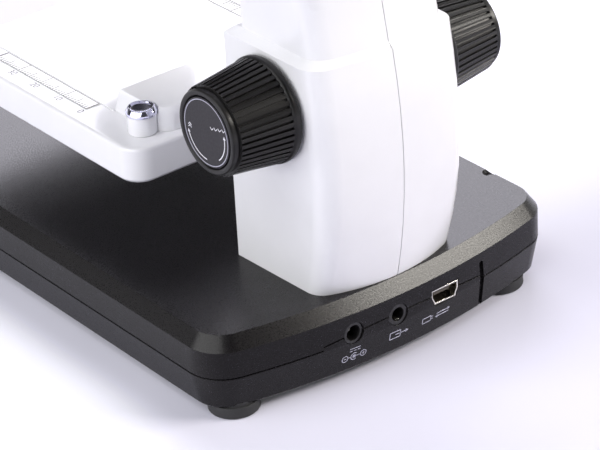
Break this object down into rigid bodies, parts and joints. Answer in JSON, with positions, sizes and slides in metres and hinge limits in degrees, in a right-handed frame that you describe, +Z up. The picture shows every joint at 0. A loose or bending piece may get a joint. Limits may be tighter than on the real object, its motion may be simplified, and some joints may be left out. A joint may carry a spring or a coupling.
{
  "type": "lcd digital microscope",
  "caption": "Desktop digital microscope: black base with rear sockets, white column with a rack-and-pinion stage drive, camera head with ring light, and a hinged colour screen.",
  "frame": {"origin": "on the table plane under the middle of the whole object's box in plan", "axes": "+Z up, -Y towards the user at the front, +X to the right seen from the front"},
  "size_m": [0.1054, 0.161, 0.2043],
  "materials": {
    "white_shell": "glossy white moulded shell",
    "black_shell": "fine-grained matte black moulded shell",
    "knob_black": "satin black ribbed knob",
    "knob_disc": "grey printed disc with a thin silver ring",
    "rubber_foot": "matte black rubber",
    "steel_weight": "plain steel plate",
    "screw_steel": "zinc-plated steel",
    "ground_steel": "ground steel",
    "die_cast": "die-cast alloy",
    "brass": "machined brass",
    "chrome_cap": "polished chrome",
    "socket_metal": "nickel-plated steel",
    "socket_black": "black socket body",
    "circuit_board": "green solder mask",
    "battery": "shrink-wrapped cell",
    "ribbon": "flat grey cable",
    "electronic_part": "moulded black part",
    "lens_black": "satin black",
    "lens_glass": "coated lens glass",
    "led_board": "white solder mask",
    "led": "clear-topped white light",
    "diffuser": "frosted ring",
    "scale_print": "white strip with black ruler lines",
    "screen_bezel": "glossy black frame",
    "screen_panel": "unlit colour screen",
    "screen_window": "tinted cover glass",
    "button_grey": "satin dark grey key",
    "wheel_black": "fine-toothed black wheel"
  },
  "bodies": {
    "stand": {"base_top_shell": "black_shell", "base_bottom_shell": "black_shell", "base_weight": "steel_weight", "rubber_feet": "rubber_foot", "base_screws": "screw_steel", "battery_pack": "battery", "main_board": "circuit_board", "board_screws": "screw_steel", "usb_socket": "socket_metal", "usb_contact_block": "socket_black", "av_jack": "socket_black", "dc_jack": "socket_black", "dc_centre_pin": "socket_metal", "card_socket": "socket_metal", "column_right_shell": "white_shell", "column_left_shell": "white_shell", "column_screws": "screw_steel", "mechanism_frame": "die_cast", "guide_rods": "ground_steel", "shaft_bushes": "brass", "ribbon_cable": "ribbon", "head_top_cover": "white_shell", "cover_screws": "screw_steel", "lens_housing": "lens_black", "lens_barrel": "lens_black", "objective_lens": "lens_glass", "led_ring_board": "led_board", "leds": "led", "light_diffuser": "diffuser", "sensor_board": "circuit_board", "image_sensor": "electronic_part", "keypad_board": "circuit_board", "button_switches": "electronic_part", "brightness_pot": "electronic_part", "hinge_pin": "screw_steel"},
    "stage": {"stage_tray": "white_shell", "stage_bracket": "white_shell", "stage_carriage": "die_cast", "carriage_screws": "screw_steel", "slide_bushes": "brass", "focus_rack": "brass", "scale_strips": "scale_print", "clip_posts": "white_shell", "post_caps": "chrome_cap"},
    "focus_drive": {"focus_shaft": "ground_steel", "focus_pinion": "brass", "knob_right": "knob_black", "knob_left": "knob_black", "knob_disc_right": "knob_disc", "knob_disc_left": "knob_disc"},
    "screen": {"lid_cover": "white_shell", "lid_bezel": "screen_bezel", "lcd_panel": "screen_panel", "lcd_window": "screen_window"},
    "power_key": {"power_button": "button_grey"},
    "menu_key": {"menu_button": "button_grey"},
    "minus_key": {"minus_button": "button_grey"},
    "plus_key": {"plus_button": "button_grey"},
    "capture_key": {"capture_button": "button_grey"},
    "light_wheel": {"brightness_wheel": "wheel_black"}
  },
  "joints": [
    {"name": "stage_height", "type": "slide", "parent": "stand", "child": "stage", "axis": [0, 0, 1], "range_m": [-0.012, 0.012]},
    {"name": "focus_turn", "type": "hinge", "parent": "stand", "child": "focus_drive", "pos_m": [0, 0.0595, 0.0683], "axis": [1, 0, 0], "range_deg": [-144, 144]},
    {"name": "screen_tilt", "type": "hinge", "parent": "stand", "child": "screen", "pos_m": [0, 0.033, 0.1385], "axis": [-1, 0, 0], "range_deg": [-120, 15]},
    {"name": "power_press", "type": "slide", "parent": "stand", "child": "power_key", "axis": [0, 0, -1], "range_m": [0, 0.0007], "stiffness_N_per_m": 1500, "springref_m": -0.0002},
    {"name": "menu_press", "type": "slide", "parent": "stand", "child": "menu_key", "axis": [0, 0, -1], "range_m": [0, 0.0007], "stiffness_N_per_m": 1500, "springref_m": -0.0002},
    {"name": "minus_press", "type": "slide", "parent": "stand", "child": "minus_key", "axis": [0, 0, -1], "range_m": [0, 0.0007], "stiffness_N_per_m": 1500, "springref_m": -0.0002},
    {"name": "plus_press", "type": "slide", "parent": "stand", "child": "plus_key", "axis": [0, 0, -1], "range_m": [0, 0.0007], "stiffness_N_per_m": 1500, "springref_m": -0.0002},
    {"name": "capture_press", "type": "slide", "parent": "stand", "child": "capture_key", "axis": [0, 0, -1], "range_m": [0, 0.0007], "stiffness_N_per_m": 1500, "springref_m": -0.0002},
    {"name": "light_turn", "type": "hinge", "parent": "stand", "child": "light_wheel", "pos_m": [0.034, -0.0038, 0.119], "axis": [0, 0, 1], "range_deg": [-135, 135]}
  ],
  "couplings": [
    {"joint": "focus_turn", "follows": "stage_height", "rad_per_m": -208.33}
  ]
}
